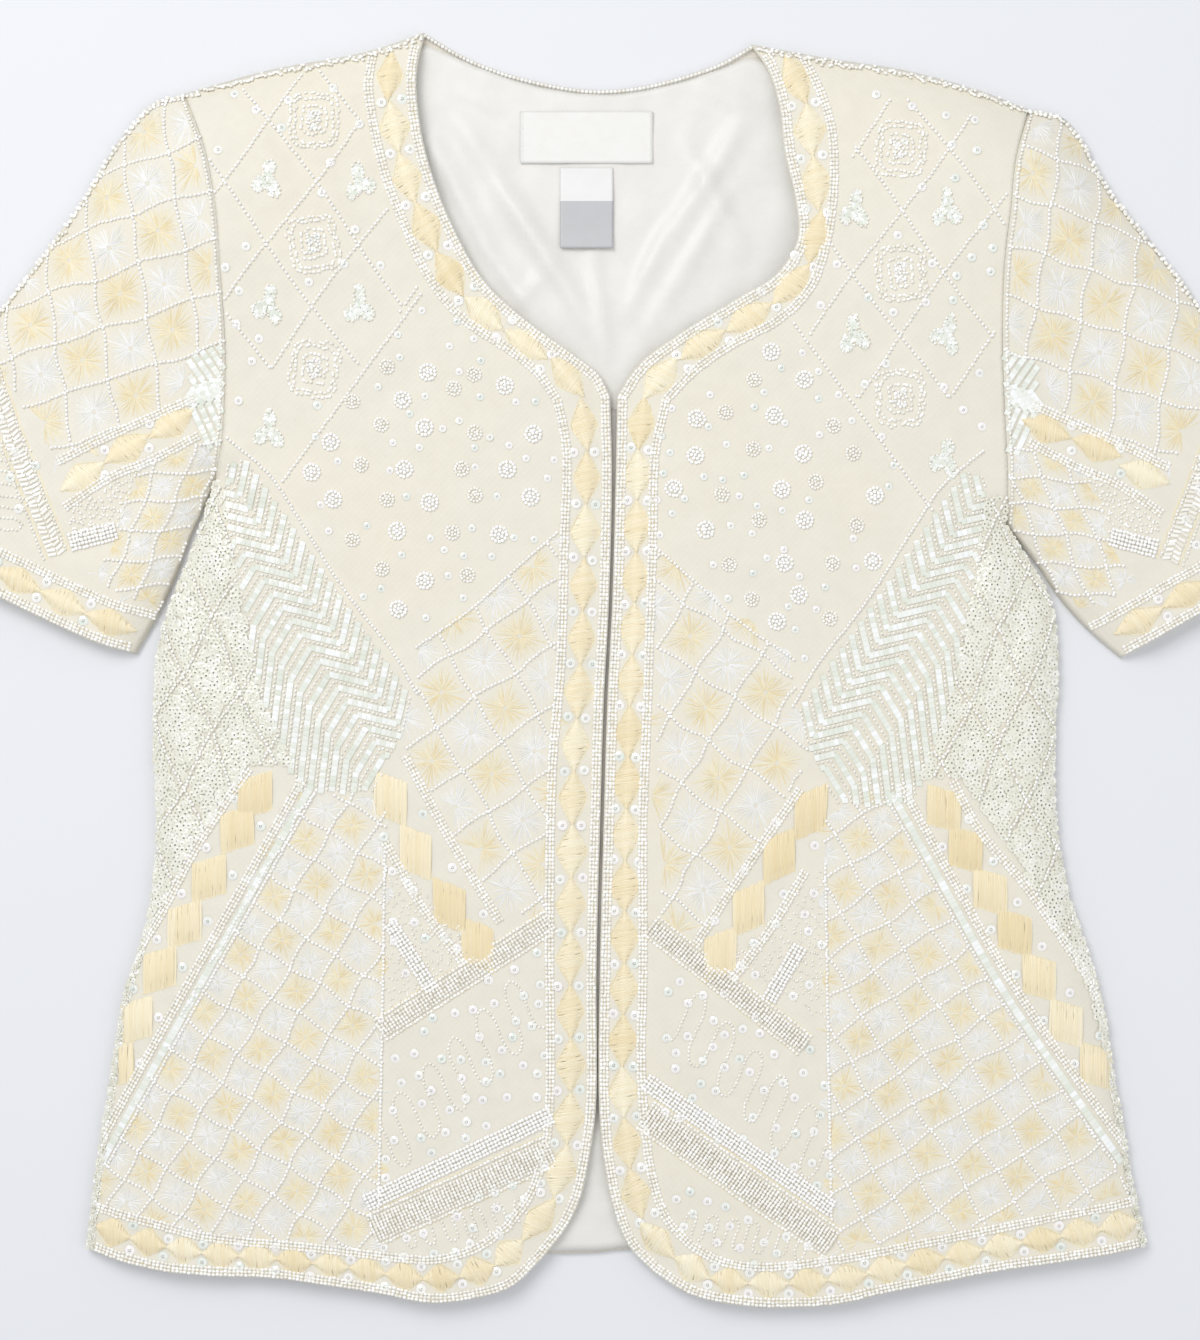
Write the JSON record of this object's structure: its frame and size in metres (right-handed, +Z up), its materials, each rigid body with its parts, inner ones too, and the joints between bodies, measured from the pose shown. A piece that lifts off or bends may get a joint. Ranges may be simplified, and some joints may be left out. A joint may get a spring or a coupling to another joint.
{
  "type": "short-sleeved beaded evening jacket",
  "caption": "Collarless short-sleeved evening jacket lying flat, its fronts edge to edge, with beaded borders, bars and satin lozenges raised on a silk ground.",
  "frame": {"origin": "middle of the footprint, on the surface that the jacket lies on", "axes": "+Z up out of the surface, +Y toward the neck, +X toward the wearer's left"},
  "size_m": [0.7412, 0.6194, 0.0209],
  "materials": {
    "beaded_silk": "ivory silk crowded with beads and sequins",
    "satin_lining": "soft off-white satin",
    "woven_label": "bare woven label",
    "care_ribbon": "bare silver-grey satin ribbon",
    "closure_tape": "matt grosgrain tape",
    "satin_thread": "pale yellow satin stitch",
    "white_beads": "opaque white glass beads",
    "clear_beads": "silver-lined clear glass beads",
    "sequins": "pearly sequins"
  },
  "bodies": {
    "root": {"back": "beaded_silk", "back_lining": "satin_lining", "front_right": "beaded_silk", "front_left": "beaded_silk", "sleeve_right": "beaded_silk", "sleeve_left": "beaded_silk", "neck_label": "woven_label", "care_label": "care_ribbon", "closure_tape": "closure_tape"}
  },
  "joints": []
}
